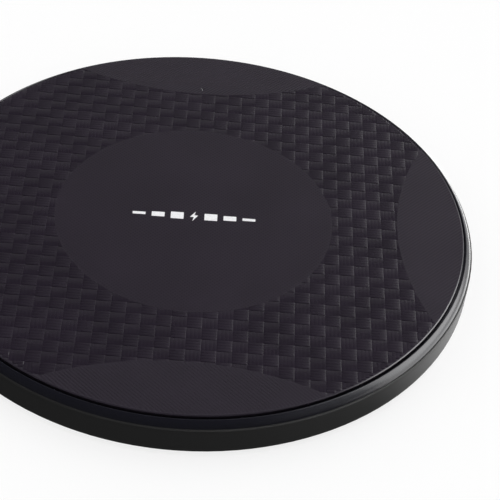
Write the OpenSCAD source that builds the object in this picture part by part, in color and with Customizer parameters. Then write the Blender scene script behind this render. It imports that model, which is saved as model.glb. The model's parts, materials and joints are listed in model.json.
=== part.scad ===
// Round wireless charging pad. Millimetres, +Z up, origin at the centre of the plane it rests on.
// +X is the reading direction of the printed mark, and the power socket faces +Y.

/* [Body] */
// Overall diameter of the pad
pad_d = 100; // [98:1:130]
// Overall height, standing on its feet
pad_h = 8; // [8:0.1:12]
// Thickness of the side wall of the bottom shell
wall_t = 1.9; // [1.6:0.1:2.2]
// Thickness of the floor of the bottom shell
floor_t = 1.5; // [1.3:0.1:1.8]
// Radius of the rounded bottom edge of the shell
edge_r = 1.2; // [0.6:0.1:1.6]
// How far the shell narrows from its widest line to its bottom edge
wall_draft = 0.1; // [0:0.05:0.6]

/* [Top plate and bezel] */
// Thickness of the textured top plate
plate_t = 1.5; // [1.2:0.1:1.8]
// Width of the bezel's visible shoulder, from the gap to the widest line
bezel_w = 1.4; // [1:0.1:2]
// Width of the shadow gap between plate and bezel
shadow_gap = 0.3; // [0.2:0.05:0.6]
// How far the plate stands above the bezel's top edge
bezel_drop = 0.4; // [0.1:0.05:0.5]
// How far below the plate's underside the bezel meets the shell
seam_drop = 0.3; // [0.2:0.05:0.4]
// Width of the ledge that the plate sits on
ledge_w = 1.9; // [1.4:0.1:2.4]
// Depth of the locating skirt below the seam
skirt_h = 1.2; // [0.8:0.1:1.6]
// Diameter of the plain field in the middle of the plate
centre_field_d = 49.4; // [40:0.5:56]
// Distance from the axis to the inner edge of each plain side field
side_field_in = 36.4; // [32:0.2:42]
// Radius of the arc that bounds each plain side field
side_field_r = 53.2; // [40:0.5:70]
// Depth of the pocket that holds the basket weave
weave_depth = 0.1; // [0.05:0.05:0.3]

/* [Feet and case screws] */
// Diameter of each rubber foot
foot_d = 10; // [8:0.5:14]
// Thickness of each rubber foot
foot_t = 1.15; // [0.9:0.05:1.4]
// How far each foot stands proud of the shell
foot_proud = 0.6; // [0.3:0.1:0.8]
// Radius of the circle on which feet and case screws lie
foot_circle_r = 40; // [38:0.5:41]
// Head diameter of the case screws
screw_head_d = 3.8; // [3:0.1:4.4]
// Head height of the case screws
screw_head_h = 1; // [0.7:0.1:1.1]
// Shank diameter of the case screws
screw_d = 1.9; // [1.6:0.1:2.2]
// Outer diameter of the bosses that the case screws hold together
boss_d = 6; // [5:0.2:6.4]

/* [Circuit board] */
// Thickness of the circuit board
pcb_t = 1; // [0.8:0.1:1.2]
// Width of the circuit board
pcb_w = 48; // [46:1:49]
// Distance from the axis to the straight edge of the board
pcb_in = 29.5; // [28.5:0.5:30]
// Height of the posts under the board
post_h = 0.8; // [0.6:0.1:1]
// Distance of the board screws from the middle plane
pcb_screw_x = 20.5; // [20:0.1:21]
// Distance of the board screws from the straight edge of the board
pcb_screw_y = 6.5; // [6:0.1:7]

/* [Power socket] */
// Width of the socket's metal shell
jack_w = 7.5; // [7.4:0.1:7.8]
// Height of the socket's metal shell
jack_h = 2.5; // [2.4:0.1:2.7]
// Depth of the socket's metal shell
jack_l = 5.2; // [5:0.1:5.8]
// Thickness of the socket's sheet metal
jack_t = 0.3; // [0.2:0.05:0.35]

/* [Coil] */
// Diameter of the coil wire bundle
wire_d = 1.05; // [0.8:0.05:1.1]
// Gap between neighbouring turns
turn_gap = 0.05; // [0.03:0.01:0.1]
// Number of half turns, odd so that both leads leave towards the board
half_turns = 21; // [15:2:21]
// Radius of the innermost turn
coil_r0 = 10.4; // [9:0.1:10.6]
// Thickness of the ferrite disc
ferrite_t = 1.2; // [1.15:0.05:1.4]
// Radius of the ferrite disc
ferrite_r = 24.5; // [24:0.5:26]
// Thickness of the adhesive film between coil and plate
film_t = 0.1; // [0.05:0.05:0.2]

/* [Indicator] */
// Distance of the indicator pinhole from the axis
pinhole_y = 37.9; // [37:0.1:39]
// Diameter of the indicator pinhole
pinhole_d = 0.9; // [0.6:0.1:1.2]

/* [Hidden] */
$fn = 96;

// clearances
fit = 0.1;            // between parts that locate each other
touch = 0.02;         // between parts that lie against each other
cut = 1;              // how far a cutting solid runs past the face it cuts

// heights
shell_z = foot_proud;                       // underside of the shell
floor_z = shell_z + floor_t;                // inside of the floor
plate_z = pad_h - plate_t;                  // underside of the top plate
bezel_top = pad_h - bezel_drop;             // top edge of the bezel
seam_z = plate_z - seam_drop;               // where bezel and shell meet
post_z = floor_z + post_h;                  // underside of the circuit board
board_z = post_z + pcb_t;                   // top of the circuit board
jack_z = post_z + 0.1;                      // underside of the socket, sunk into the board
film_z = plate_z - film_t;                  // underside of the adhesive film
coil_z = film_z - wire_d / 2 - touch;       // middle of the coil
ferrite_top = coil_z - wire_d / 2 - touch;
ferrite_z = ferrite_top - ferrite_t;        // underside of the ferrite
slot_z = ferrite_top - wire_d / 2 - touch;  // middle of a lead in its ferrite slot

// radii
out_r = pad_d / 2;
in_r = out_r - wall_t;
plate_r = out_r - bezel_w - shadow_gap;
seat_r = plate_r + shadow_gap;
skirt_r = in_r - fit;
board_r = seat_r - ledge_w - 1.2;           // outer curve of the circuit board
plate_edge = 0.15;                          // chamfer around the top plate
weave_r = plate_r - 0.2;                    // outer edge of the basket weave
seam_edge = 0.12;                           // size of the broken edges along the seam
shoulder_r = out_r - 0.25;                  // outer radius of the bezel at the seam
bezel_round = 0.2;                          // radius of the bezel's rounded inner edge
foam_r = 19;                                // foam pad, and the rib around it

// feet and screws
foot_recess = foot_t - foot_proud + 0.05;
head_clear = 0.4;                                     // play around a screw head
head_z = shell_z + foot_recess + screw_head_h + 0.2;  // the face that a screw head bears on
boss_seat = head_z + 1;                               // where the two bosses meet
foot_angles = [45, 135, 225, 315];
pilot_depth = 0.35;                                   // how far a pilot hole goes into the plate
board_screw_d = 1.5;
board_screw_head = 2.8;

// socket
jack_mouth = out_r - 0.6;
jack_back = jack_mouth - jack_l;
jack_corner = 1.05;                         // size of the socket's two cut corners
port_w = jack_w + 0.5;
port_h = jack_h + 0.5;
port_corner = 0.45;                         // corner radius of the opening in the shell
tongue_w = 3.6;
tongue_t = 0.6;
tongue_z = jack_z + jack_h - jack_t - 0.45 - tongue_t;
contact_pitch = 0.65;
contact_s = [0.28, 0.12];                   // width and thickness of a contact

// coil and temperature sensor
pitch = wire_d + turn_gap;
coil_end_r = coil_r0 + (half_turns - 1) * pitch / 2;
lead_x = [-coil_end_r, coil_r0];            // the outer lead and the inner lead
slot_w = wire_d + 0.3;
pad_y = pcb_in + 2;                         // solder pads along the board's straight edge
lead_pad_z = board_z + wire_d / 2 + touch;
sensor_lead_s = [0.4, 0.35];                // width and thickness of a sensor lead
sensor_lead_x = 0.4;                        // distance of a sensor lead from the middle plane
sensor_slot_y = 7;                          // where the sensor's slot in the ferrite begins
bead_d = 1.6;
bead_h = 0.9;

// indicator
pipe_d = 2;
pipe_boss_d = 4;
led_h = 0.6;
pipe_z = board_z + led_h + 0.2;
pipe_shoulder = pad_h - 0.8;                // where the pipe narrows to the pinhole

// label
label_d = 46;
label_t = 0.1;
label_recess = 0.15;

// parts on the board: [x, y from the board's straight edge]
controller_at = [-9.5, 6.7];
controller_s = 7;
controller_h = 1.4;
pin_n = 8;
pin_pitch = 0.8;
pin_s = [0.35, 1, 0.2];
transistor_at = [[15.2, 2.6], [15.2, 6.4], [15.2, 10.2], [5.6, 3.3]];
transistor_s = [3.3, 3.3, 0.9];
resonance_at = [[-16.8, 2.3], [-16.8, 5.4], [-16.8, 8.5], [-8.5, 13.2]];
resonance_s = [3.2, 2.5, 1.6];
filter_at = [[-4.6, 13.1], [4.6, 13.1], [-20.6, 9.6], [20.6, 2.4]];
filter_s = [2, 1.25, 1.2];
resistor_at = [[3, 7.2], [3, 8.8], [3, 10.4], [-2.9, 7.6], [-2.9, 9.2], [4.4, 5.7],
    [-12.6, 12.6], [20.6, 9.8]];
resistor_s = [1.6, 0.8, 0.45];
inductor_at = [9.4, 9.4];
inductor_s = [6, 6, 2];
core_d = 5;
crystal_at = [-2.4, 4.3];
crystal_s = [3.2, 2.5, 0.8];
terminal_l = 0.5;                           // length of the metal ends of a chip part

// ---------- shared shapes ----------

// Copies its children to each foot position.
module at_feet() {
    for (a = foot_angles) rotate([0, 0, a]) translate([foot_circle_r, 0, 0]) children();
}

// Places its children on the board, at a point counted from the middle of its straight edge.
module on_board(p) {
    translate([p[0], pcb_in + p[1], board_z]) children();
}

// A slab centred in X and Y that stands on Z = 0.
module slab(s) {
    translate([-s[0] / 2, -s[1] / 2, 0]) cube(s);
}

// A round wire in the plane X = 0 that follows [y, z] points. Each straight run ends inside a bend of
// radius r, and the bends are a little fuller than the runs.
module round_lead(points, d, r) {
    n = len(points);
    angles = [for (i = [0 : n - 2])
        atan2(points[i + 1][1] - points[i][1], points[i + 1][0] - points[i][0])];
    turns = [for (i = [1 : n - 2]) angles[i] - angles[i - 1]];
    trims = concat(0, [for (a = turns) r * tan(abs(a) / 2)], 0);
    overlaps = concat(0, [for (a = turns) min(0.1, r * abs(a) * PI / 540)], 0);
    for (i = [0 : n - 2]) translate([0, points[i][0], points[i][1]]) rotate([angles[i], 0, 0]) {
        start = trims[i] - overlaps[i];
        bend = norm(points[i + 1] - points[i]) - trims[i + 1];
        translate([0, start, 0]) rotate([-90, 0, 0])
            cylinder(d = d, h = bend + overlaps[i + 1] - start, $fn = 32);
        if (i < n - 2) translate([0, bend, 0]) elbow(turns[i], d * 1.04, r);
    }
}

// A bend that starts along Y and turns upwards by a positive angle, downwards by a negative one.
module elbow(turn, d, r) {
    rotate([0, turn < 0 ? 180 : 0, 0]) translate([0, 0, r]) rotate([0, 90, 0])
        rotate_extrude(angle = abs(turn)) translate([r, 0]) circle(d = d, $fn = 32);
}

// A round-cornered block that runs along Y through a wall: width, height, length and corner radius.
module round_block(w, h, l, r) {
    translate([-w / 2 + r, 0, -h / 2]) cube([w - 2 * r, l, h]);
    translate([-w / 2, 0, -h / 2 + r]) cube([w, l, h - 2 * r]);
    for (x = [-1, 1], z = [-1, 1]) translate([x * (w / 2 - r), 0, z * (h / 2 - r)])
        rotate([-90, 0, 0]) cylinder(r = r, h = l);
}

// A flat lead of width w and thickness t that follows [y, z] points, centred on X = 0.
module flat_lead(points, w, t) {
    n = len(points);
    path = concat(points, [for (i = [n - 1 : -1 : 0]) points[i] + [0, t]]);
    translate([-w / 2, 0, 0]) rotate([90, 0, 90]) linear_extrude(w) polygon(path);
}

// ---------- casing ----------

// Plan of the basket-weave field: all of the plate but the centre field and the four side fields.
module weave_plan() {
    difference() {
        circle(r = weave_r);
        circle(d = centre_field_d);
        for (a = [0, 90, 180, 270])
            rotate(a) translate([side_field_in + side_field_r, 0]) circle(r = side_field_r);
    }
}

// Top plate with the pocket of its basket weave, its screw bosses and the holder for the light pipe.
module top_plate() {
    color("#35323a") difference() {
        union() {
            rotate_extrude() polygon([
                [0, plate_z], [plate_r, plate_z], [plate_r, pad_h - plate_edge],
                [plate_r - plate_edge, pad_h], [0, pad_h]]);
            at_feet() translate([0, 0, boss_seat + touch])
                cylinder(d = boss_d, h = plate_z - boss_seat);
            translate([0, pinhole_y, plate_z - 0.9]) cylinder(d = pipe_boss_d, h = 1);
        }
        translate([0, 0, pad_h - weave_depth]) linear_extrude(weave_depth + cut) weave_plan();
        at_feet() translate([0, 0, boss_seat - cut])
            cylinder(d = screw_d + fit, h = plate_z + pilot_depth - boss_seat + cut);
        translate([0, pinhole_y, 0]) {
            cylinder(d = pipe_d + fit, h = pipe_shoulder + touch);
            cylinder(d = pinhole_d, h = pad_h + cut);
        }
    }
}

// Glossy bezel: a bulging shoulder with a rounded inner edge, a ledge under the plate and a skirt inside
// the shell.
module bezel_ring() {
    bulge = 0.1;
    outwards = [0.9, 0.44];
    steps = 8;
    from = [shoulder_r, seam_z + seam_edge];
    inner_edge = [for (a = [40 : 20 : 180])
        [seat_r + bezel_round + bezel_round * cos(a), bezel_top - bezel_round + bezel_round * sin(a)]];
    shoulder = [for (i = [0 : steps - 1]) let (t = i / steps)
        from + t * (inner_edge[0] - from) + bulge * sin(180 * t) * outwards];
    color("#141416") difference() {
        rotate_extrude() polygon(concat(
            [[seat_r - ledge_w, seam_z - skirt_h], [skirt_r, seam_z - skirt_h], [skirt_r, seam_z + touch],
             [shoulder_r - seam_edge, seam_z + touch]],
            shoulder, inner_edge,
            [[seat_r, plate_z - touch], [seat_r - ledge_w, plate_z - touch]]));
        translate([-port_w / 2 - fit, 0, seam_z - skirt_h - cut])
            cube([port_w + 2 * fit, in_r, jack_z + jack_h + 0.3 - seam_z + skirt_h + cut]);
    }
}

// Bottom shell: floor, rounded edge, side wall, bosses, posts, foam rib and socket opening.
module bottom_shell() {
    side_r = out_r - wall_draft;
    relief = 0.2;
    foot_edge = [for (a = [-90 : 15 : 0])
        [side_r - edge_r + edge_r * cos(a), shell_z + edge_r + edge_r * sin(a)]];
    rib_r = foam_r + 0.5;
    color("#1b1b1e") difference() {
        union() {
            rotate_extrude() polygon(concat(
                [[0, shell_z]], foot_edge,
                [[out_r, seam_z - 1], [out_r, seam_z - seam_edge], [out_r - seam_edge, seam_z],
                 [in_r, seam_z], [in_r, floor_z + relief], [in_r - relief, floor_z], [0, floor_z]]));
            at_feet() translate([0, 0, floor_z - 0.2])
                cylinder(d = boss_d + 0.4, h = boss_seat - floor_z + 0.2);
            for (x = [-1, 1]) {
                translate([x * pcb_screw_x, pcb_in + pcb_screw_y, floor_z - 0.2])
                    cylinder(d = 4, h = post_h + 0.2);
                translate([x * 11.5, pcb_in + 1.6, floor_z - 0.2]) cylinder(d = 2.4, h = post_h + 0.2);
            }
            translate([0, 0, floor_z - 0.2]) difference() {
                cylinder(r = rib_r + 0.8, h = 1.2);
                translate([0, 0, -cut]) cylinder(r = rib_r, h = 1.2 + 2 * cut);
            }
        }
        at_feet() {
            translate([0, 0, shell_z - cut]) cylinder(d = foot_d + 2 * fit, h = foot_recess + cut);
            translate([0, 0, shell_z - cut])
                cylinder(d = screw_head_d + head_clear, h = head_z - shell_z + cut);
            translate([0, 0, shell_z]) cylinder(d = screw_d + 3 * fit, h = boss_seat);
        }
        for (x = [-1, 1]) translate([x * pcb_screw_x, pcb_in + pcb_screw_y, floor_z - 0.5])
            cylinder(d = board_screw_d + fit / 2, h = post_h + cut);
        translate([0, 0, shell_z - cut]) cylinder(d = label_d + 0.6, h = label_recess + cut);
        translate([0, in_r - 1, jack_z + jack_h / 2])
            round_block(port_w, port_h, wall_t + 2, port_corner);
    }
}

// Four rubber feet with a softened bottom edge, which cover the case screws.
module rubber_feet() {
    soft = 0.25;
    color("#222222") at_feet() rotate_extrude() polygon([
        [0, 0], [foot_d / 2 - soft, 0], [foot_d / 2, soft], [foot_d / 2, foot_t], [0, foot_t]]);
}

// A pan-head screw, head down, with its bearing face at Z = 0 and its shank upwards.
module pan_screw(head_d, head_h, shank_d, shank_l) {
    recess = [head_d * 0.55, head_d * 0.14, head_h * 0.5];
    difference() {
        union() {
            rotate_extrude() polygon([
                [0, -head_h], [head_d * 0.32, -head_h], [head_d * 0.46, -head_h * 0.72],
                [head_d / 2, -head_h * 0.3], [head_d / 2, 0], [0, 0]]);
            cylinder(d = shank_d, h = shank_l - shank_d * 0.4);
            translate([0, 0, shank_l - shank_d * 0.4])
                cylinder(d1 = shank_d, d2 = shank_d * 0.4, h = shank_d * 0.4);
        }
        for (a = [0, 90]) rotate(a) translate([0, 0, -head_h - recess[2]])
            slab([recess[0], recess[1], 2 * recess[2]]);
    }
}

// Four self-tapping screws that clamp shell, bezel and plate together.
module case_screws() {
    color("silver") at_feet() translate([0, 0, head_z - touch])
        pan_screw(screw_head_d, screw_head_h, screw_d, plate_z + pilot_depth - fit - head_z);
}

// Blank label stuck in a shallow recess under the shell.
module rating_label() {
    color("#2c2c30") translate([0, 0, shell_z + label_recess - label_t - touch])
        cylinder(d = label_d, h = label_t);
}

// ---------- circuit board ----------

// Circuit board: a straight inner edge, a curved outer edge, screw holes and a notch for the socket.
module circuit_board() {
    color("#0e4a2c") translate([0, 0, post_z + touch]) linear_extrude(pcb_t - touch) difference() {
        intersection() {
            circle(r = board_r);
            translate([-pcb_w / 2, pcb_in]) square([pcb_w, out_r]);
        }
        translate([-jack_w / 2 - fit, jack_back - fit]) square([jack_w + 2 * fit, out_r]);
        for (x = [-1, 1]) translate([x * pcb_screw_x, pcb_in + pcb_screw_y])
            circle(d = board_screw_d + 0.3);
    }
}

// Two small screws that hold the board, heads upwards.
module board_screws() {
    color("silver") for (x = [-1, 1])
        translate([x * pcb_screw_x, pcb_in + pcb_screw_y, board_z + touch]) mirror([0, 0, 1])
            pan_screw(board_screw_head, 0.7, board_screw_d, pcb_t + post_h);
}

// Outline of the socket in XZ, drawn in XY: wide at the top, with two cut corners below.
module socket_outline(inset = 0) {
    w = jack_w / 2 - inset;
    low = inset;
    high = jack_h - inset;
    polygon([[-w, high], [w, high], [w, low + jack_corner], [w - jack_corner, low],
        [-w + jack_corner, low], [-w, low + jack_corner]]);
}

// Extrudes a plan drawn as XZ along Y, from y0 to y1.
module along_y(y0, y1) {
    translate([0, y1, 0]) rotate([90, 0, 0]) linear_extrude(y1 - y0) children();
}

// Folded metal shell of the socket, with its four solder tabs.
module socket_shell() {
    tab = [0.9, 0.7, 0.25];
    color("silver") {
        translate([0, 0, jack_z]) difference() {
            along_y(jack_back, jack_mouth) socket_outline();
            along_y(jack_back - cut, jack_mouth + cut) socket_outline(jack_t);
        }
        for (x = [-1, 1]) translate([x * (jack_w / 2 + tab[0] / 2 - 0.1), jack_back + 0.5, board_z + touch])
            slab(tab);
    }
}

// Plastic block at the back of the socket and the tongue that carries the contacts.
module socket_insulator() {
    color("#202022") difference() {
        union() {
            translate([0, 0, jack_z]) along_y(jack_back + touch, jack_back + 0.9)
                socket_outline(jack_t + touch);
            translate([-tongue_w / 2, jack_back + 0.5, tongue_z]) cube([tongue_w, jack_l - 1.2, tongue_t]);
        }
        for (i = [-2 : 2]) translate([i * contact_pitch, 0, 0]) contact(touch);
    }
}

// One contact strip under the tongue, with its tail bent down to the board.
module contact(grow = 0) {
    w = contact_s[0] + 2 * grow;
    z = tongue_z - contact_s[1] / 2;
    tail_y = jack_back - 0.9;
    translate([-w / 2, tail_y, z - grow]) cube([w, jack_l, contact_s[1] + 2 * grow]);
    translate([-w / 2, tail_y, board_z + touch]) cube([w, contact_s[1], z - board_z]);
    translate([-w / 2, tail_y - 0.5, board_z + touch]) cube([w, 0.6, contact_s[1]]);
}

// Five gold-plated contacts.
module socket_contacts() {
    color("gold") for (i = [-2 : 2]) translate([i * contact_pitch, 0, 0]) contact();
}

// ---------- coil ----------

// Flat spiral of half circles about two centres, wound clockwise from its inner end.
module coil_winding() {
    color("#b5652b") for (k = [0 : half_turns - 1])
        translate([k % 2 == 0 ? 0 : pitch / 2, 0, coil_z]) rotate(k % 2 == 0 ? 180 : 0)
            rotate_extrude(angle = 180) translate([coil_r0 + k * pitch / 2, 0])
                circle(d = wire_d, $fn = 24);
}

// The two leads: the outer one runs straight to the board, the inner one dives through the ferrite slot.
module coil_leads() {
    rise_y = pcb_in - 0.5;
    bend_r = 1.5;
    color("#c07a3c") {
        translate([lead_x[0], 0, 0]) round_lead([
            [touch, coil_z], [pcb_in - 8, coil_z], [rise_y, lead_pad_z], [pad_y + 1, lead_pad_z]],
            wire_d, bend_r);
        translate([lead_x[1], 0, 0]) round_lead([
            [touch, coil_z], [0.6, coil_z], [2.6, slot_z], [ferrite_r - 1, slot_z],
            [rise_y, lead_pad_z], [pad_y + 1, lead_pad_z]], wire_d, bend_r);
    }
}

// Ferrite disc with two slots that let the inner lead and the sensor wires out.
module ferrite_disc() {
    color("#3a3a3c") translate([0, 0, ferrite_z]) linear_extrude(ferrite_t) difference() {
        circle(r = ferrite_r);
        translate([lead_x[1] - slot_w / 2, 0]) square([slot_w, ferrite_r]);
        translate([-slot_w / 2, sensor_slot_y]) square([slot_w, ferrite_r]);
    }
}

// Adhesive film between the coil and the top plate.
module coil_film() {
    color("#d8c690") translate([0, 0, film_z]) difference() {
        cylinder(r = coil_end_r + 2, h = film_t - touch);
        translate([0, 0, -cut]) cylinder(r = coil_r0 - 3, h = film_t + 2 * cut);
    }
}

// Foam pad that presses the ferrite and coil up against the plate.
module foam_pad() {
    color("#444448") translate([0, 0, floor_z + touch])
        cylinder(r = foam_r, h = ferrite_z - floor_z - 2 * touch);
}

// Bead thermistor in the middle of the coil.
module thermistor() {
    color("#20242c") translate([0, 0, ferrite_top + touch]) cylinder(d = bead_d, h = bead_h, $fn = 48);
}

// Two fine flat leads from the thermistor to the board.
module thermistor_leads() {
    high = ferrite_top + touch;
    low = ferrite_top - ferrite_t / 2;
    color("#e8e8e0") for (x = [-1, 1]) translate([x * sensor_lead_x, 0, 0]) flat_lead([
        [bead_d / 2 + touch, high], [sensor_slot_y + 0.8, high], [sensor_slot_y + 2.2, low],
        [ferrite_r + 1, low], [pcb_in - 0.3, board_z + touch], [pad_y, board_z + touch]],
        sensor_lead_s[0], sensor_lead_s[1]);
}

// ---------- parts on the board ----------

// Moulded body of the controller, held just above the board by its pins.
module controller_chip() {
    color("#1a1a1c") on_board(controller_at) translate([0, 0, 0.1]) difference() {
        slab([controller_s, controller_s, controller_h]);
        translate([-controller_s / 2 + 1, -controller_s / 2 + 1, controller_h - 0.1])
            cylinder(d = 0.8, h = 1);
    }
}

// Gull-wing pins along the four sides of the controller.
module controller_pins() {
    side = controller_s / 2 + touch;
    color("silver") on_board(controller_at) for (a = [0, 90, 180, 270], i = [0 : pin_n - 1])
        rotate(a) translate([(i - (pin_n - 1) / 2) * pin_pitch - pin_s[0] / 2, side, touch]) {
            cube(pin_s);
            cube([pin_s[0], pin_s[2], 0.8]);
        }
}

// Four power transistors of the coil bridge.
module bridge_transistors() {
    color("#222226") for (p = transistor_at) on_board(p) translate([0, 0, 0.06]) slab(transistor_s);
}

// Bare metal pads that show along two sides of each transistor.
module transistor_pads() {
    pad_s = [0.3, 0.4, 0.25];
    color("silver") for (p = transistor_at, side = [-1, 1], i = [0 : 3])
        on_board(p) translate([side * (transistor_s[0] / 2 + pad_s[0] / 2 + touch), (i - 1.5) * 0.8, touch])
            slab(pad_s);
}

// Body of a ceramic chip part between its two metal ends.
module chip_body(s) {
    slab([s[0] - 2 * terminal_l - 2 * touch, s[1], s[2]]);
}

// The two metal ends of a chip part.
module chip_ends(s) {
    for (x = [-1, 1]) translate([x * (s[0] - terminal_l) / 2, 0, 0])
        slab([terminal_l, s[1] + 0.04, s[2] + 0.03]);
}

// Large ceramic capacitors in series with the coil.
module resonance_capacitors() {
    color("#9a7048") for (p = resonance_at) on_board(p) translate([0, 0, touch]) chip_body(resonance_s);
}

// Smaller ceramic capacitors on the supply.
module filter_capacitors() {
    color("#b08a5a") for (p = filter_at) on_board(p) translate([0, 0, touch]) chip_body(filter_s);
}

// Thick-film resistors.
module chip_resistors() {
    color("#18181a") for (p = resistor_at) on_board(p) translate([0, 0, touch]) chip_body(resistor_s);
}

// Metal ends of all the chip capacitors and resistors.
module chip_terminals() {
    color("silver") {
        for (p = resonance_at) on_board(p) translate([0, 0, touch]) chip_ends(resonance_s);
        for (p = filter_at) on_board(p) translate([0, 0, touch]) chip_ends(filter_s);
        for (p = resistor_at) on_board(p) translate([0, 0, touch]) chip_ends(resistor_s);
    }
}

// Moulded frame of the power inductor, open around its core.
module power_inductor() {
    color("#4a4a50") on_board(inductor_at) translate([0, 0, touch]) difference() {
        slab(inductor_s);
        translate([0, 0, 0.5]) cylinder(d = core_d + 0.3, h = inductor_s[2]);
    }
}

// Drum core of the power inductor.
module inductor_core() {
    color("#2c2c30") on_board(inductor_at) translate([0, 0, 0.5 + 2 * touch])
        cylinder(d = core_d, h = inductor_s[2] - 0.5);
}

// Metal-can crystal.
module crystal() {
    color("silver") on_board(crystal_at) translate([0, 0, touch]) slab(crystal_s);
}

// Indicator lamp under the light pipe.
module status_led() {
    color("#f2f2e6") on_board([0, pinhole_y - pcb_in]) translate([0, 0, touch]) slab([1.6, 0.8, led_h]);
}

// Clear pin that carries the lamp's light to the pinhole.
module light_pipe() {
    color("#e8f0f0") translate([0, pinhole_y, 0]) {
        translate([0, 0, pipe_z]) cylinder(d = pipe_d, h = pipe_shoulder - pipe_z);
        translate([0, 0, pipe_shoulder - 0.1])
            cylinder(d = pinhole_d - fit, h = pad_h - pipe_shoulder + 0.05);
    }
}

// Solder mounds at the ends of the coil leads and the sensor leads.
module solder_joints() {
    coil_mound = [2.2, 1.2, 0.9];
    sensor_mound = [0.6, 0.4, 0.35];
    color("#c8c8cc") {
        for (x = lead_x) translate([x, pad_y + 1 + coil_mound[0] / 2 + touch, board_z + touch])
            cylinder(d1 = coil_mound[0], d2 = coil_mound[1], h = coil_mound[2]);
        for (x = [-1, 1])
            translate([x * sensor_lead_x, pad_y + sensor_mound[0] / 2 + touch, board_z + touch])
                cylinder(d1 = sensor_mound[0], d2 = sensor_mound[1], h = sensor_mound[2]);
    }
}

top_plate();
bezel_ring();
bottom_shell();
rubber_feet();
case_screws();
rating_label();
circuit_board();
board_screws();
socket_shell();
socket_insulator();
socket_contacts();
coil_winding();
coil_leads();
ferrite_disc();
coil_film();
foam_pad();
thermistor();
thermistor_leads();
controller_chip();
controller_pins();
bridge_transistors();
transistor_pads();
resonance_capacitors();
filter_capacitors();
power_inductor();
inductor_core();
chip_resistors();
chip_terminals();
crystal();
status_led();
light_pipe();
solder_joints();
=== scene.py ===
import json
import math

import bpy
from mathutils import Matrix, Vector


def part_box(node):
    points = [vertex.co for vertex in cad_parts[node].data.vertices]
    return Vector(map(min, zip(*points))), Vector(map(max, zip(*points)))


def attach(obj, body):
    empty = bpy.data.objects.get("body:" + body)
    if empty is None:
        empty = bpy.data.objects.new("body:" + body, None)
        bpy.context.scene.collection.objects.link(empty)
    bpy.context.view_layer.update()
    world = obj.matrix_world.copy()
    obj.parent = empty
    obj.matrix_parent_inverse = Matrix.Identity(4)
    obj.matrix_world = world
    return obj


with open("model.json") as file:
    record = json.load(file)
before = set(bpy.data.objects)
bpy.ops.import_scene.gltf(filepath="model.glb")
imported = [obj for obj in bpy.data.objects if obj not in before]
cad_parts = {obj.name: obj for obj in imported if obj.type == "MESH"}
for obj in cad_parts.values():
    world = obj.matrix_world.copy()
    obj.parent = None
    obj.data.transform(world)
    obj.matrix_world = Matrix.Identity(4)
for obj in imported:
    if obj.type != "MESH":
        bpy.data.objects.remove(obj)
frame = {"nodes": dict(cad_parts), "record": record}

# %% [markdown]
# # A round wireless charging pad
# The pad is a flat black disc, a tenth of a metre wide. A patterned top plate sits in a glossy bezel, the
# bezel sits on a bottom shell, and everything electrical is sealed between them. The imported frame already
# holds every part at its real size, so this lesson adds the looks: the moulded pattern, the printed mark,
# the finishes, the studio. First it reads the sizes that the later steps build on, and clears what a new
# file starts with.

for name in ("Cube", "Light", "Camera"):
    if name in bpy.data.objects:
        bpy.data.objects.remove(bpy.data.objects[name])

MM = 0.001
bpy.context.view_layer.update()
_, plate_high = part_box("top_plate")
plate_radius = plate_high.x
plate_top = plate_high.z

# %% [markdown]
# ## The camera
# The pad is seen from the front and well above, through a long lens, and the camera leans a little to one
# side. A camera is easiest to place by its own three directions: how far the pad's centre lies ahead of
# it, and how far it lies to the left of and above the middle of the view. All three are shares of the
# plate's radius, so the picture keeps its framing if the pad changes size.

# %% Camera
VIEW_AZIMUTH = math.radians(-2.5)
VIEW_ELEVATION = math.radians(41.545)
VIEW_LEAN = math.radians(5.536)
AHEAD, LEFT, ABOVE = 6.63763, 0.20631, 0.12401
FOCAL_LENGTH = 129.6
SENSOR_WIDTH = 36

back = Vector((math.sin(VIEW_AZIMUTH) * math.cos(VIEW_ELEVATION),
               -math.cos(VIEW_AZIMUTH) * math.cos(VIEW_ELEVATION),
               math.sin(VIEW_ELEVATION)))
level_right = (-back).cross(Vector((0, 0, 1))).normalized()
level_up = level_right.cross(-back)
right = level_right * math.cos(VIEW_LEAN) + level_up * math.sin(VIEW_LEAN)
up = level_up * math.cos(VIEW_LEAN) - level_right * math.sin(VIEW_LEAN)

lens = bpy.data.cameras.new("camera")
lens.lens = FOCAL_LENGTH
lens.sensor_width = SENSOR_WIDTH
lens.clip_start = 10 * MM
camera = bpy.data.objects.new("camera", lens)
bpy.context.scene.collection.objects.link(camera)
plate_centre = Vector((0, 0, plate_top))
camera.location = plate_centre + plate_radius * (AHEAD * back + LEFT * right - ABOVE * up)
camera.rotation_euler = Matrix((right, up, back)).transposed().to_euler()
bpy.context.scene.camera = camera
print("camera", round(camera.location.length, 3), "m away")

# %% [markdown]
# ## Finishes
# Every surface here is a Principled shader with some unevenness in it. Moulded plastic has a fine
# spark-eroded grain, which is a bump, and slow changes in its polish, which is a noise in its roughness.
# The textures read Object coordinates, so they stay put on each piece and survive an export.

# %% A helper that wires one shader
def shader(name, colour, roughness, metallic=0.0, ior=1.5):
    """A material with one Principled shader. Returns the material, its tree and the shader."""
    made = bpy.data.materials.new(name)
    made.use_nodes = True
    tree = made.node_tree
    surface = tree.nodes["Principled BSDF"]
    surface.inputs["Base Color"].default_value = (*colour, 1)
    surface.inputs["Roughness"].default_value = roughness
    surface.inputs["Metallic"].default_value = metallic
    surface.inputs["IOR"].default_value = ior
    return made, tree, surface


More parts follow.
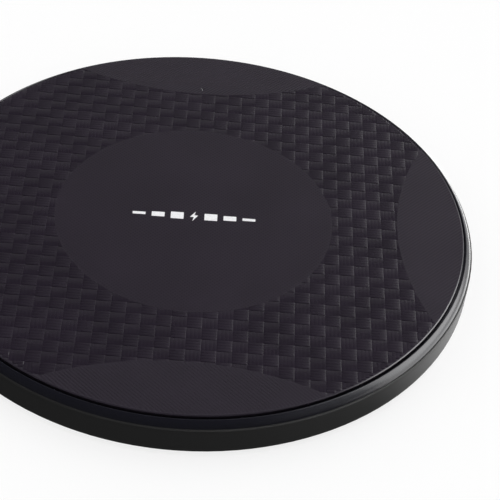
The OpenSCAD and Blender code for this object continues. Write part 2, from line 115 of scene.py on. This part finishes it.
def noise(tree, scale, detail=3.0, stretch=(1, 1, 1)):
    """A noise in Object coordinates, of this many features a metre. Stretch squeezes it along an axis."""
    place = tree.nodes.new("ShaderNodeTexCoord")
    mapping = tree.nodes.new("ShaderNodeMapping")
    mapping.inputs["Scale"].default_value = stretch
    texture = tree.nodes.new("ShaderNodeTexNoise")
    texture.inputs["Scale"].default_value = scale
    texture.inputs["Detail"].default_value = detail
    tree.links.new(place.outputs["Object"], mapping.inputs["Vector"])
    tree.links.new(mapping.outputs["Vector"], texture.inputs["Vector"])
    return texture.outputs["Fac"]


def vary(tree, field, socket, low, high):
    """Spreads a noise over a range of values and plugs it into a socket."""
    spread = tree.nodes.new("ShaderNodeMapRange")
    spread.inputs["From Min"].default_value = 0.3
    spread.inputs["From Max"].default_value = 0.7
    spread.inputs["To Min"].default_value = low
    spread.inputs["To Max"].default_value = high
    tree.links.new(field, spread.inputs["Value"])
    tree.links.new(spread.outputs["Result"], socket)


def grain(tree, surface, field, depth):
    """Raises a noise as a bump of this depth in metres."""
    bump = tree.nodes.new("ShaderNodeBump")
    bump.inputs["Distance"].default_value = depth
    bump.inputs["Strength"].default_value = 1.0
    tree.links.new(field, bump.inputs["Height"])
    tree.links.new(bump.outputs["Normal"], surface.inputs["Normal"])


def tint(tree, surface, field, dark, light):
    """Lets the colour wander between two tones."""
    tones = tree.nodes.new("ShaderNodeValToRGB")
    for stop, position, tone in zip(tones.color_ramp.elements, (0.35, 0.65), (dark, light)):
        stop.position = position
        stop.color = (*tone, 1)
    tree.links.new(field, tones.inputs["Fac"])
    tree.links.new(tones.outputs["Color"], surface.inputs["Base Color"])


# %% [markdown]
# ### Plastics
# The plate is a dark lacquered moulding with a faint violet cast, a little glossier where it is woven.
# The bezel is polished, and the shell has a fine satin grain. One function makes them all, because they
# differ only in tone, polish and grain. Blender finds a finish again by its name, so a variable is kept
# only for those that the new pieces need.

# %% Plastics
POLISH_PATCH = 9 * MM


def plastic(name, colour, roughness, grain_size=0.25 * MM, grain_depth=0.004 * MM, ior=1.5, spread=0.1):
    """Moulded plastic: grain as a bump, and slow changes in tone and polish."""
    made, tree, surface = shader(name, colour, roughness, ior=ior)
    slow = noise(tree, 1 / POLISH_PATCH)
    fine = noise(tree, 1 / grain_size, 2.0)
    vary(tree, slow, surface.inputs["Roughness"], roughness * (1 - spread), roughness * (1 + spread))
    tint(tree, surface, slow, [c * (1 - spread) for c in colour], [c * (1 + spread) for c in colour])
    grain(tree, surface, fine, grain_depth)
    return made


plate_lacquer = plastic("plate_lacquer", (0.0115, 0.008, 0.014), 0.34, 0.2 * MM, 0.003 * MM, ior=1.37)
weave_lacquer = plastic("weave_lacquer", (0.0128, 0.0092, 0.0158), 0.27, 0.2 * MM, 0.002 * MM, ior=1.37)
plastic("bezel_gloss", (0.0015, 0.0015, 0.0018), 0.05, 0.6 * MM, 0.0003 * MM, ior=1.45)
plastic("shell_plastic", (0.006, 0.006, 0.0065), 0.2, 0.18 * MM, 0.002 * MM)
plastic("foot_rubber", (0.012, 0.012, 0.012), 0.75, 0.12 * MM, 0.012 * MM, ior=1.45)
plastic("moulded_black", (0.012, 0.012, 0.013), 0.5, 0.1 * MM, 0.006 * MM)
plastic("chip_mould", (0.016, 0.016, 0.018), 0.6, 0.08 * MM, 0.008 * MM)
plastic("label_film", (0.03, 0.03, 0.034), 0.42, 0.5 * MM, 0.003 * MM)
plastic("lead_insulation", (0.72, 0.71, 0.67), 0.5, 0.3 * MM, 0.004 * MM)
plastic("led_package", (0.78, 0.74, 0.58), 0.35, 0.2 * MM, 0.003 * MM)
plastic("board_laminate", (0.008, 0.085, 0.035), 0.28, 0.8 * MM, 0.006 * MM, ior=1.55)
print("plastics made")

# %% [markdown]
# ### Metals, ceramics and soft materials
# Rolled and plated metal is drawn out along one axis, so its noise is stretched. Fired ceramic and
# ferrite are dull and granular. The foam and the adhesive film are never seen in use, and still get a
# surface of their own.

# %% Metals
STREAK = 0.8 * MM
STREAK_DEPTH = 0.002 * MM


def metal(name, colour, roughness, draw=(1, 12, 1)):
    """Plated or drawn metal: fine streaks along one axis in its polish and its surface."""
    _, tree, surface = shader(name, colour, roughness, metallic=1.0)
    streaks = noise(tree, 1 / STREAK, 4.0, draw)
    vary(tree, streaks, surface.inputs["Roughness"], roughness * 0.7, roughness * 1.4)
    grain(tree, surface, streaks, STREAK_DEPTH)


metal("screw_steel", (0.52, 0.52, 0.54), 0.32, (1, 1, 8))
metal("tinned_steel", (0.62, 0.62, 0.64), 0.25)
metal("tinned_copper", (0.68, 0.68, 0.69), 0.3)
metal("gold_contact", (0.9, 0.65, 0.24), 0.2)
metal("coil_copper", (0.6, 0.23, 0.08), 0.35, (1, 1, 1))
metal("solder", (0.6, 0.6, 0.62), 0.28, (1, 1, 1))


# %% Ceramics and soft materials
def fired(name, colour, roughness, speck=0.15 * MM):
    """Ceramic or ferrite: a speckle in the colour and a granular surface."""
    _, tree, surface = shader(name, colour, roughness)
    speckle = noise(tree, 1 / speck, 5.0)
    tint(tree, surface, speckle, [c * 0.7 for c in colour], [c * 1.3 for c in colour])
    grain(tree, surface, speckle, 0.01 * MM)


def cellular(name, colour, roughness, cell, depth):
    """Foam or backing paper: rounded cells that read as pores."""
    _, tree, surface = shader(name, colour, roughness)
    place = tree.nodes.new("ShaderNodeTexCoord")
    cells = tree.nodes.new("ShaderNodeTexVoronoi")
    cells.inputs["Scale"].default_value = 1 / cell
    tree.links.new(place.outputs["Object"], cells.inputs["Vector"])
    tint(tree, surface, cells.outputs["Distance"], [c * 0.6 for c in colour], colour)
    grain(tree, surface, cells.outputs["Distance"], depth)


fired("ferrite", (0.04, 0.04, 0.043), 0.6)
fired("inductor_body", (0.075, 0.075, 0.085), 0.65, 0.1 * MM)
fired("capacitor_ceramic", (0.4, 0.26, 0.15), 0.45, 0.08 * MM)
cellular("adhesive_film", (0.6, 0.5, 0.3), 0.55, 0.4 * MM, 0.01 * MM)
cellular("foam", (0.05, 0.05, 0.055), 0.9, 0.5 * MM, 0.08 * MM)

_, clear_tree, clear_surface = shader("clear_plastic", (0.85, 0.9, 0.9), 0.15, ior=1.49)
clear_surface.inputs["Transmission Weight"].default_value = 0.8
vary(clear_tree, noise(clear_tree, 1 / (2 * MM)), clear_surface.inputs["Roughness"], 0.1, 0.22)

white_ink, ink_tree, ink_surface = shader("white_ink", (0.84, 0.84, 0.85), 0.5)
tint(ink_tree, ink_surface, noise(ink_tree, 1 / (0.3 * MM)), (0.78, 0.78, 0.79), (0.9, 0.9, 0.91))
print("metals, ceramics and soft materials made")

# %% [markdown]
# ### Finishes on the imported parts
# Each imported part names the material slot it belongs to. The slot's name is also the name of a finish
# above, so one loop paints them all.

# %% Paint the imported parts
slot_of = {row["node"]: row["material_slot"] for row in frame["record"]["subparts"]}
for node_name, part in frame["nodes"].items():
    for place in part.material_slots:
        place.material = bpy.data.materials[slot_of[node_name]]
print(len(slot_of), "parts painted")

# %% [markdown]
# ## Node maths that reads like arithmetic
# The plate's pattern follows rules, so Geometry Nodes make it. A tree of Math nodes is hard to read as
# code, so a socket is wrapped in a small class that turns + - * / and > into the nodes they stand for.

# %% Fields as numbers
class Field:
    """A socket in a node tree that can be used in sums."""

    def __init__(self, tree, socket):
        self.tree = tree
        self.socket = socket

    def math(self, operation, *others):
        made = self.tree.nodes.new("ShaderNodeMath")
        made.operation = operation
        for value, place in zip((self, *others), made.inputs):
            plug(self.tree, value, place)
        return Field(self.tree, made.outputs[0])

    def __add__(self, other):
        return self.math("ADD", other)

    def __sub__(self, other):
        return self.math("SUBTRACT", other)

    def __mul__(self, other):
        return self.math("MULTIPLY", other)

    def __truediv__(self, other):
        return self.math("DIVIDE", other)

    def __gt__(self, other):
        return self.math("GREATER_THAN", other)


def plug(tree, value, place):
    """Links a field or socket into a place, or sets it to a plain value."""
    if isinstance(value, Field):
        tree.links.new(value.socket, place)
    elif isinstance(value, bpy.types.NodeSocket):
        tree.links.new(value, place)
    else:
        place.default_value = value


def add(tree, kind, inputs=(), **settings):
    """A node of this kind, with its settings made and its inputs plugged by name."""
    made = tree.nodes.new(kind)
    for key, value in settings.items():
        setattr(made, key, value)
    for key, value in dict(inputs).items():
        plug(tree, value, made.inputs[key])
    return made


def half_chord(radius, offset):
    """Half the length of a circle's chord at this distance from its centre."""
    return (radius * radius - offset * offset).math("MAXIMUM", 0.0).math("SQRT")


# %% [markdown]
# A tree is started with its named sizes, and finished with Realize Instances and Set Material, because an
# export drops instances. The finished tree is run once on an empty object, and what it makes is kept as a
# plain mesh.

# %% Start, finish and run a tree
def start_tree(name, sizes, counts=()):
    """A geometry tree with a float input for each size and a whole-number input for each count."""
    tree = bpy.data.node_groups.new(name, "GeometryNodeTree")
    for size in sizes:
        tree.interface.new_socket(size, in_out="INPUT", socket_type="NodeSocketFloat")
    for count in counts:
        tree.interface.new_socket(count, in_out="INPUT", socket_type="NodeSocketInt")
    tree.interface.new_socket("Material", in_out="INPUT", socket_type="NodeSocketMaterial")
    tree.interface.new_socket("Geometry", in_out="OUTPUT", socket_type="NodeSocketGeometry")
    entry = tree.nodes.new("NodeGroupInput")
    return tree, {socket.name: Field(tree, socket) for socket in entry.outputs if socket.name}


def finish_tree(tree, given, geometry):
    """Realizes the instances, sets the material and ends the tree."""
    real = add(tree, "GeometryNodeRealizeInstances", {"Geometry": geometry})
    painted = add(tree, "GeometryNodeSetMaterial",
                  {"Geometry": real.outputs["Geometry"], "Material": given["Material"]})
    end = tree.nodes.new("NodeGroupOutput")
    tree.links.new(painted.outputs["Geometry"], end.inputs["Geometry"])


def grow(name, tree, values, crease=math.radians(18)):
    """Runs a tree with these values and keeps the result as a smooth mesh with sharp creases."""
    carrier = bpy.data.objects.new("carrier", bpy.data.meshes.new("carrier"))
    bpy.context.scene.collection.objects.link(carrier)
    modifier = carrier.modifiers.new("grow", "NODES")
    modifier.node_group = tree
    for item in tree.interface.items_tree:
        if item.in_out == "INPUT":
            modifier[item.identifier] = values[item.name]
    depsgraph = bpy.context.evaluated_depsgraph_get()
    mesh = bpy.data.meshes.new_from_object(carrier.evaluated_get(depsgraph), depsgraph=depsgraph)
    bpy.data.objects.remove(carrier)
    mesh.name = name
    mesh.shade_smooth()
    mesh.set_sharp_from_angle(angle=crease)
    piece = bpy.data.objects.new(name, mesh)
    bpy.context.scene.collection.objects.link(piece)
    print(name, len(mesh.polygons), "faces")
    return piece


# %% [markdown]
# ## The basket weave
# The moulding imitates a basket weave: square cells of four ribs, laid across in one cell and along in
# the next. A quarter turn carries the cells that run across onto the cells that run along, so only one
# set is made, and its turned copy is the other. Each rib is a low bar with a crowned back and two steep
# ends. The ends matter most, because each one catches the light as a short bright stroke. Ribs that would
# cross the rim are shortened by the chord of the rim's circle. Those well inside the plain fields are
# left out, and the ones at a field's edge tuck under it.

# %% The weave's tree
SHORTEST_RIB = 0.2     # of a cell
TUCKED = 0.7           # of a cell
weave_tree, size = start_tree(
    "basket_weave", ["Cell", "Rim radius", "Centre radius", "Side distance", "Side radius", "Height", "Crown",
                     "Floor"], ["Cells", "Ribs"])
half = size["Cell"] * 0.5
rib_pitch = size["Cell"] / size["Ribs"]
rows = size["Cells"] * size["Ribs"]

places = add(weave_tree, "GeometryNodeMeshGrid", {
    "Size X": (size["Cells"] - 1.0) * size["Cell"], "Size Y": (rows - 1.0) * rib_pitch,
    "Vertices X": size["Cells"], "Vertices Y": rows})
spot = add(weave_tree, "ShaderNodeSeparateXYZ",
           {"Vector": weave_tree.nodes.new("GeometryNodeInputPosition").outputs[0]})
x = Field(weave_tree, spot.outputs["X"])
y = Field(weave_tree, spot.outputs["Y"])

checker = (x / size["Cell"]).math("FLOOR") + (y / size["Cell"]).math("FLOOR")
runs_across = checker.math("FLOORED_MODULO", 2.0)
reach = half_chord(size["Rim radius"], y.math("ABSOLUTE") + rib_pitch * 0.5)
left_end = (x - half).math("MAXIMUM", reach * -1.0)
right_end = (x + half).math("MINIMUM", reach)
length = right_end - left_end

tuck = size["Cell"] * TUCKED
from_centre = (x * x + y * y).math("SQRT")
side_x = x.math("ABSOLUTE") - size["Side distance"]
side_y = y.math("ABSOLUTE") - size["Side distance"]
from_side = (side_x * side_x + y * y).math("SQRT").math("MINIMUM", (side_y * side_y + x * x).math("SQRT"))
keep = (length > size["Cell"] * SHORTEST_RIB) * (from_centre > size["Centre radius"] - tuck)
keep = keep * (from_side > size["Side radius"] - tuck) * (runs_across > 0.5)

chosen = add(weave_tree, "GeometryNodeDeleteGeometry", {
    "Geometry": places.outputs["Mesh"], "Selection": keep * -1.0 + 1.0})
noted = add(weave_tree, "GeometryNodeStoreNamedAttribute", {
    "Geometry": chosen.outputs["Geometry"], "Name": "stretch",
    "Value": length / size["Cell"]}, data_type="FLOAT")
middle = add(weave_tree, "ShaderNodeCombineXYZ",
             {"X": (left_end + right_end) * 0.5, "Y": y, "Z": size["Floor"]})
seated = add(weave_tree, "GeometryNodeSetPosition",
             {"Geometry": noted.outputs["Geometry"], "Position": middle.outputs["Vector"]})

# %% [markdown]
# One rib is a cube with two cuts along it and two across it. Its top is lifted into a crown, the cuts
# across it are moved close to the ends so that the ends are steep, and its underside sinks a little into
# the plate.

# %% One rib, its copies and their quarter turn
SUNK = 0.02 * MM
FLAT_SHARE = 0.84      # of a rib's length
END_HEIGHT = 0.26      # of a rib's height
rib_width = rib_pitch * 0.98
rib_size = add(weave_tree, "ShaderNodeCombineXYZ", {"X": size["Cell"], "Y": rib_width, "Z": 1.0})
bar = add(weave_tree, "GeometryNodeMeshCube",
          {"Size": rib_size.outputs["Vector"], "Vertices X": 4, "Vertices Y": 4, "Vertices Z": 2})
on_bar = add(weave_tree, "ShaderNodeSeparateXYZ",
             {"Vector": weave_tree.nodes.new("GeometryNodeInputPosition").outputs[0]})
along = Field(weave_tree, on_bar.outputs["X"]) / half
across = Field(weave_tree, on_bar.outputs["Y"]) / (rib_width * 0.5)
at_end = along.math("ABSOLUTE") > 0.9
moved = along.math("SIGN") * (at_end * (1.0 - FLAT_SHARE) + FLAT_SHARE) * half
crown = (across * across * -1.0 + 1.0) * size["Crown"]
top = (at_end * (END_HEIGHT - 1.0) + 1.0) * (size["Height"] - size["Crown"] + crown)
is_top = Field(weave_tree, on_bar.outputs["Z"]) > 0.0
shaped = add(weave_tree, "ShaderNodeCombineXYZ", {
    "X": moved, "Y": Field(weave_tree, on_bar.outputs["Y"]),
    "Z": is_top * (top + SUNK) - SUNK})
rib = add(weave_tree, "GeometryNodeSetPosition",
          {"Geometry": bar.outputs["Mesh"], "Position": shaped.outputs["Vector"]})

stretch = add(weave_tree, "GeometryNodeInputNamedAttribute", {"Name": "stretch"}, data_type="FLOAT")
rib_scale = add(weave_tree, "ShaderNodeCombineXYZ", {"X": stretch.outputs["Attribute"], "Y": 1.0, "Z": 1.0})
ribs = add(weave_tree, "GeometryNodeInstanceOnPoints", {
    "Points": seated.outputs["Geometry"], "Instance": rib.outputs["Geometry"],
    "Scale": rib_scale.outputs["Vector"]})
turned = add(weave_tree, "GeometryNodeTransform",
             {"Geometry": ribs.outputs["Instances"], "Rotation": (0, 0, math.pi / 2)})
both = weave_tree.nodes.new("GeometryNodeJoinGeometry")
for half_weave in (ribs.outputs["Instances"], turned.outputs["Geometry"]):
    weave_tree.links.new(half_weave, both.inputs["Geometry"])
finish_tree(weave_tree, size, both.outputs["Geometry"])

# %% Grow the weave
CELL = 2.58 * MM
RIM_MARGIN = 0.2 * MM
WEAVE_DEPTH = 0.1 * MM
RIB_HEIGHT = 0.095 * MM
RIB_CROWN = 0.02 * MM
CENTRE_RADIUS = 24.7 * MM
SIDE_INNER = 36.4 * MM
SIDE_RADIUS = 53.2 * MM
SIDE_CENTRE = SIDE_INNER + SIDE_RADIUS
basket_weave = grow("basket_weave", weave_tree, {
    "Cell": CELL, "Cells": 38, "Ribs": 4, "Rim radius": plate_radius - RIM_MARGIN,
    "Centre radius": CENTRE_RADIUS, "Side distance": SIDE_CENTRE, "Side radius": SIDE_RADIUS,
    "Height": RIB_HEIGHT, "Crown": RIB_CROWN, "Floor": plate_top - WEAVE_DEPTH, "Material": weave_lacquer})

# %% [markdown]
# ## The hatching on the plain fields
# The centre and the four side fields are covered with hair-fine ridges at 45 degrees, which lean the
# other way in the front field and cross in the centre. Each ridge is a chord: it runs where its line is
# inside both the rim's circle and the field's own circle. A row of points carries the ridges, and the
# whole row is then turned to its angle.

# %% The hatching's tree
hatch_tree, size = start_tree(
    "hatching", ["Pitch", "Rim radius", "Field radius", "Field along", "Field across", "Width", "Height",
                 "Level", "Angle"], ["Lines"])
start_y = (size["Lines"] - 1.0) * size["Pitch"] * -0.5
first = add(hatch_tree, "ShaderNodeCombineXYZ", {"X": 0.0, "Y": start_y, "Z": 0.0})
step = add(hatch_tree, "ShaderNodeCombineXYZ", {"X": 0.0, "Y": size["Pitch"], "Z": 0.0})
row = add(hatch_tree, "GeometryNodeMeshLine", {
    "Count": size["Lines"], "Start Location": first.outputs["Vector"], "Offset": step.outputs["Vector"]})
on_row = add(hatch_tree, "ShaderNodeSeparateXYZ",
             {"Vector": hatch_tree.nodes.new("GeometryNodeInputPosition").outputs[0]})
y = Field(hatch_tree, on_row.outputs["Y"])
rim_reach = half_chord(size["Rim radius"], y)
field_reach = half_chord(size["Field radius"], y - size["Field across"])
ridge_from = (size["Field along"] - field_reach).math("MAXIMUM", rim_reach * -1.0)
ridge_to = (size["Field along"] + field_reach).math("MINIMUM", rim_reach)
length = ridge_to - ridge_from
chosen = add(hatch_tree, "GeometryNodeDeleteGeometry", {
    "Geometry": row.outputs["Mesh"], "Selection": (length > size["Pitch"] * 2.0) * -1.0 + 1.0})
noted = add(hatch_tree, "GeometryNodeStoreNamedAttribute", {
    "Geometry": chosen.outputs["Geometry"], "Name": "length", "Value": length}, data_type="FLOAT")
middle = add(hatch_tree, "ShaderNodeCombineXYZ",
             {"X": (ridge_from + ridge_to) * 0.5, "Y": y, "Z": size["Level"]})
seated = add(hatch_tree, "GeometryNodeSetPosition",
             {"Geometry": noted.outputs["Geometry"], "Position": middle.outputs["Vector"]})
rod = add(hatch_tree, "GeometryNodeMeshCylinder", {"Vertices": 6, "Radius": 1.0, "Depth": 1.0})
laid = add(hatch_tree, "GeometryNodeTransform",
           {"Geometry": rod.outputs["Mesh"], "Rotation": (0, math.pi / 2, 0)})
kept = add(hatch_tree, "GeometryNodeInputNamedAttribute", {"Name": "length"}, data_type="FLOAT")
ridge_scale = add(hatch_tree, "ShaderNodeCombineXYZ",
                  {"X": kept.outputs["Attribute"], "Y": size["Width"] * 0.5, "Z": size["Height"]})
ridges = add(hatch_tree, "GeometryNodeInstanceOnPoints", {
    "Points": seated.outputs["Geometry"], "Instance": laid.outputs["Geometry"],
    "Scale": ridge_scale.outputs["Vector"]})
turn = add(hatch_tree, "ShaderNodeCombineXYZ", {"X": 0.0, "Y": 0.0, "Z": size["Angle"]})
hatched = add(hatch_tree, "GeometryNodeTransform",
              {"Geometry": ridges.outputs["Instances"], "Rotation": turn.outputs["Vector"]})
finish_tree(hatch_tree, size, hatched.outputs["Geometry"])

# %% Grow the hatching of each field
RIDGE_PITCH = 0.55 * MM
RIDGE_WIDTH = 0.3 * MM
RIDGE_HEIGHT = 0.016 * MM
RIDGE_SUNK = 0.006 * MM
RIDGE_RIM_MARGIN = 0.3 * MM
FIELD_MARGIN = 0.1 * MM
RIDGES = 181
RISING = math.radians(45)
FALLING = math.radians(-45)


def hatch(name, centre, radius, angle):
    """Hatches the part of the plate inside a circle, with ridges at this angle."""
    seen = Matrix.Rotation(-angle, 2) @ Vector(centre)
    return grow(name, hatch_tree, {
        "Pitch": RIDGE_PITCH, "Rim radius": plate_radius - RIDGE_RIM_MARGIN,
        "Field radius": radius - FIELD_MARGIN, "Field along": seen.x, "Field across": seen.y,
        "Width": RIDGE_WIDTH, "Height": RIDGE_HEIGHT, "Level": plate_top - RIDGE_SUNK, "Angle": angle,
        "Lines": RIDGES, "Material": plate_lacquer})


hatchings = [
    hatch("centre_hatching_rising", (0, 0), CENTRE_RADIUS, RISING),
    hatch("centre_hatching_falling", (0, 0), CENTRE_RADIUS, FALLING),
    hatch("right_field_hatching", (SIDE_CENTRE, 0), SIDE_RADIUS, RISING),
    hatch("left_field_hatching", (-SIDE_CENTRE, 0), SIDE_RADIUS, RISING),
    hatch("back_field_hatching", (0, SIDE_CENTRE), SIDE_RADIUS, RISING),
    hatch("front_field_hatching", (0, -SIDE_CENTRE), SIDE_RADIUS, FALLING)]

# %% [markdown]
# ## The printed mark
# A plain charging symbol is printed in white ink in the middle of the plate: a small bolt between two
# rows of bars. Ink has a thickness, so each shape is a flat outline raised by a hair.

# %% The mark
INK = 0.03 * MM
BOLT_HEIGHT = 2.6 * MM
BARS = 3
BAR_WIDTH = 2.3 * MM
BAR_STEP = 3.4 * MM
FIRST_BAR = 3.0 * MM
TALLEST_BAR = 1.76 * MM
BAR_SHRINK = 0.275 * MM


def ink_shape(verts, faces, outline):
    """Adds one inked outline, counted anticlockwise, as a thin closed slab."""
    low = plate_top - INK
    base = len(verts)
    count = len(outline)
    verts.extend((px, py, low) for px, py in outline)
    verts.extend((px, py, plate_top + INK) for px, py in outline)
    faces.append([base + i for i in reversed(range(count))])
    faces.append([base + count + i for i in range(count)])
    for i in range(count):
        j = (i + 1) % count
        faces.append([base + i, base + j, base + count + j, base + count + i])


verts, faces = [], []
bolt = [(0.1, 0.5), (-0.28, -0.08), (-0.02, -0.08), (-0.1, -0.5), (0.28, 0.1), (0.03, 0.1)]
ink_shape(verts, faces, [(px * BOLT_HEIGHT, py * BOLT_HEIGHT) for px, py in bolt])
for side in (-1, 1):
    for index in range(BARS):
        bar_x = side * (FIRST_BAR + index * BAR_STEP)
        start_x, end_x = bar_x - BAR_WIDTH / 2, bar_x + BAR_WIDTH / 2
        rise = TALLEST_BAR / 2 - index * BAR_SHRINK
        ink_shape(verts, faces, [(start_x, -rise), (end_x, -rise), (end_x, rise), (start_x, rise)])
ink_mesh = bpy.data.meshes.new("printed_mark")
ink_mesh.from_pydata(verts, [], faces)
ink_mesh.materials.append(white_ink)
printed_mark = bpy.data.objects.new("printed_mark", ink_mesh)
bpy.context.scene.collection.objects.link(printed_mark)
print("printed mark", len(faces), "faces")

# %% [markdown]
# ## The studio
# A dark glossy object is lit by what it reflects. The surroundings hold a bright panel beyond the pad and a
# window to the right, and keep the rest dark. The floor itself glows for glossy rays with a painted
# reflection: bright to the right beside the pad, where a white card would lie, and dark in front and to the
# left, a painted shade that stands in for the pad's shadow on the floor. The bezel then shows a bright band
# on the right that ends in an edge, and falls to black at the front. Here the panel, the window and the
# floor's painted reflection are seen by glossy rays only. Everything else meets one even white light, which
# keeps the floor pale.

# %% Helpers for what the gloss sees
def towards(tree, direction, side):
    """How squarely a direction points to a side, from -1 to 1."""
    level = add(tree, "ShaderNodeVectorMath", {0: direction}, operation="NORMALIZE")
    made = add(tree, "ShaderNodeVectorMath", {0: level.outputs["Vector"], 1: Vector(side).normalized()},
               operation="DOT_PRODUCT")
    return Field(tree, made.outputs["Value"])


def ramp(tree, value, low, high, start, end):
    """A smooth step from one tone to another as a value goes from low to high."""
    made = add(tree, "ShaderNodeMapRange", {
        "Value": value, "From Min": low, "From Max": high, "To Min": start, "To Max": end},
        interpolation_type="SMOOTHSTEP")
    return Field(tree, made.outputs["Result"])


# %% Floor
FLOOR_EDGE = 4.0
# The floor's painted reflection is brightest towards this side, and a far band of it starts this far from the
# pad.
PAINTED_GLOW_SIDE = (0.85, 0.53, 0)
PAINTED_GLOW_FAR_START = 60 * MM
PAINTED_GLOW_FAR_BLEND = 6 * MM

bpy.context.scene.view_settings.view_transform = "Standard"
floor_mesh = bpy.data.meshes.new("floor")
corners = [(-1, -1), (1, -1), (1, 1), (-1, 1)]
floor_mesh.from_pydata([(FLOOR_EDGE * px, FLOOR_EDGE * py, 0) for px, py in corners], [], [(0, 1, 2, 3)])
floor = bpy.data.objects.new("floor", floor_mesh)
bpy.context.scene.collection.objects.link(floor)
floor_paper_and_painted_reflection, floor_tree, floor_surface = shader("floor_paper_and_painted_reflection", (0.95, 0.95, 0.95), 0.9)
floor_surface.inputs["Specular IOR Level"].default_value = 0.0

# Painted reflection: how brightly the floor glows for glossy rays. It is bright towards the right and near
# black in front and to the left, where it paints the shade of the pad's shadow.
where = add(floor_tree, "ShaderNodeTexCoord").outputs["Object"]
from_pad = add(floor_tree, "ShaderNodeVectorMath", {0: where}, operation="LENGTH")
distance = Field(floor_tree, from_pad.outputs["Value"])
beside = towards(floor_tree, where, PAINTED_GLOW_SIDE)
near_painted_reflection = ramp(floor_tree, beside, 0.12, 0.66, 0.07, 3.2)
far_painted_reflection = ramp(floor_tree, beside, 0.34, 0.4, 0.02, 3.0) * ramp(floor_tree, beside, 0.7, 0.9, 1.0, 0.3)
is_far = ramp(floor_tree, distance, PAINTED_GLOW_FAR_START, PAINTED_GLOW_FAR_START + PAINTED_GLOW_FAR_BLEND, 0.0, 1.0)
painted_reflection = near_painted_reflection + is_far * (far_painted_reflection - near_painted_reflection)

# The floor glows for glossy rays only. This emission is a painted reflection, not a lamp.
painted_reflection_glow = add(floor_tree, "ShaderNodeEmission", {"Strength": painted_reflection})
ray = add(floor_tree, "ShaderNodeLightPath")
floor_mix = add(floor_tree, "ShaderNodeMixShader", {
    0: ray.outputs["Is Glossy Ray"], 1: floor_surface.outputs["BSDF"], 2: painted_reflection_glow.outputs["Emission"]})
floor_tree.links.new(floor_mix.outputs["Shader"], floor_tree.nodes["Material Output"].inputs["Surface"])
floor_mesh.materials.append(floor_paper_and_painted_reflection)
print("floor", 2 * FLOOR_EDGE, "m wide")

# %% [markdown]
# The surroundings are a sphere of light with three parts: a dim room that brightens to the right, a
# window there, and a panel beyond the pad. Each is a product of ramps along a direction, and each ramp
# fades one of its edges.

# %% Surroundings
ROOM_SIDE = (0.85, 0.5, -0.15)
PANEL_SIDE = (0.608, 0.773, 0.184)
EVEN_LIGHT = 0.25

world = bpy.data.worlds.new("studio")
bpy.context.scene.world = world
world.use_nodes = True
sky = world.node_tree
sky.nodes.clear()
look = add(sky, "ShaderNodeTexCoord").outputs["Generated"]
sideways = towards(sky, look, ROOM_SIDE)
rightwards = towards(sky, look, (1, 0, 0))
rearwards = towards(sky, look, (0, 1, 0))
upwards = towards(sky, look, (0, 0, 1))
room = ramp(sky, sideways, -0.2, 0.35, 0.02, 0.32) * ramp(sky, upwards, 0.6, 0.8, 1.0, 0.7)
window = ramp(sky, sideways, 0.54, 0.64, 0.0, 1.7) * ramp(sky, sideways, 0.75, 0.9, 1.0, 0.3)
window = window * ramp(sky, rearwards, -0.2, 0.1, 0.0, 1.0)
panel = ramp(sky, towards(sky, look, PANEL_SIDE), 0.39, 0.42, 0.0, 4.6)
panel = panel * ramp(sky, rightwards, 0.3, 0.45, 0.0, 1.0)
panel = panel * ramp(sky, rearwards, 0.45, 0.68, 1.0, 0.0)

ray = add(sky, "ShaderNodeLightPath")
strength = add(sky, "ShaderNodeMix", {
    0: ray.outputs["Is Glossy Ray"], 2: EVEN_LIGHT, 3: room + window + panel}, data_type="FLOAT")
light = add(sky, "ShaderNodeBackground", {"Color": (1, 1, 1, 1), "Strength": strength.outputs[0]})
add(sky, "ShaderNodeOutputWorld", {"Surface": light.outputs["Background"]})
print("surroundings", len(sky.nodes), "nodes")

# %% [markdown]
# A sun without shadows evens out the floor. Glossy rays don't see it, so it leaves no spot on the plate.

# %% Fill light
fill = bpy.data.lights.new("fill", "SUN")
fill.energy = 2.5
fill.use_shadow = False
fill_lamp = bpy.data.objects.new("fill", fill)
fill_lamp.visible_glossy = False
bpy.context.scene.collection.objects.link(fill_lamp)
print("fill light", fill.energy, "watts a square metre")

# %% [markdown]
# ## One body
# The pad has no moving parts, so every new piece rides on its one body. The imported parts stay where they
# are.

# %% Ride on the body
for piece in [basket_weave, *hatchings, printed_mark]:
    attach(piece, "root")
